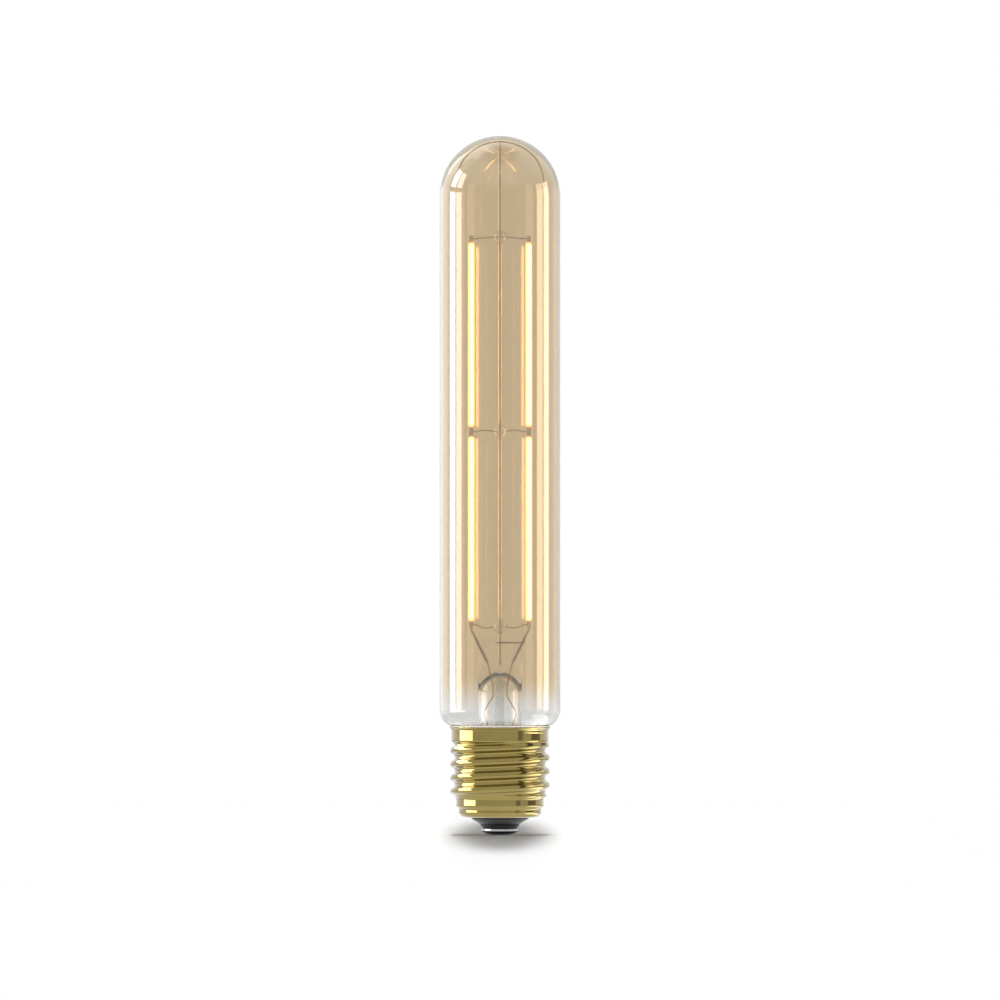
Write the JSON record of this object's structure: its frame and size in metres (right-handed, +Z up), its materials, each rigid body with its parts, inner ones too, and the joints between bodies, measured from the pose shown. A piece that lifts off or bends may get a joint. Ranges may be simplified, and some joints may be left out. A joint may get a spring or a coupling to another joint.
{
  "type": "tubular light bulb",
  "caption": "Tubular LED filament bulb with gold-tinted glass and a brass E27 screw cap, lit by straight filament sticks held along a central rod.",
  "frame": {"origin": "centre of the contact's lower face", "axes": "+Z up the axis of the tube, from the contact to the dome; +X to the right in the picture"},
  "size_m": [0.032, 0.032, 0.185],
  "materials": {
    "tinted_glass": "polished, gold tint that fades to clear at the shoulder",
    "clear_glass": "fire-polished",
    "brass": "rolled, bright",
    "black_glass": "opaque, glossy",
    "contact_metal": "tinned",
    "nickel_wire": "drawn",
    "copper_wire": "drawn copper",
    "phosphor": "silicone with phosphor, lit warm white",
    "cement": "matt",
    "board": "solder resist",
    "package": "moulded",
    "can": "sleeved",
    "resistor": "lacquered"
  },
  "bodies": {
    "root": {"bridge_rectifier": "package", "capping_cement": "cement", "centre_contact": "contact_metal", "contact_lead": "copper_wire", "driver_board": "board", "driver_chip": "package", "exhaust_tube": "clear_glass", "filament_lower_left": "phosphor", "filament_lower_right": "phosphor", "filament_upper_left": "phosphor", "filament_upper_right": "phosphor", "fuse_resistor": "resistor", "glass_envelope": "tinted_glass", "glass_stem": "clear_glass", "inner_lead_left": "nickel_wire", "inner_lead_right": "nickel_wire", "insulator": "black_glass", "lead_in_left": "copper_wire", "lead_in_right": "copper_wire", "lower_anchor_left": "nickel_wire", "lower_anchor_right": "nickel_wire", "lower_bead": "clear_glass", "middle_anchor_left": "nickel_wire", "middle_anchor_right": "nickel_wire", "middle_bead": "clear_glass", "screw_shell": "brass", "shell_lead": "copper_wire", "smoothing_capacitor": "can", "support_rod": "nickel_wire", "tab_lower_bottom_left": "nickel_wire", "tab_lower_bottom_right": "nickel_wire", "tab_lower_top_left": "nickel_wire", "tab_lower_top_right": "nickel_wire", "tab_upper_bottom_left": "nickel_wire", "tab_upper_bottom_right": "nickel_wire", "tab_upper_top_left": "nickel_wire", "tab_upper_top_right": "nickel_wire", "tie_wire": "nickel_wire", "upper_bead": "clear_glass", "upper_bridge_wire": "nickel_wire"}
  },
  "joints": []
}
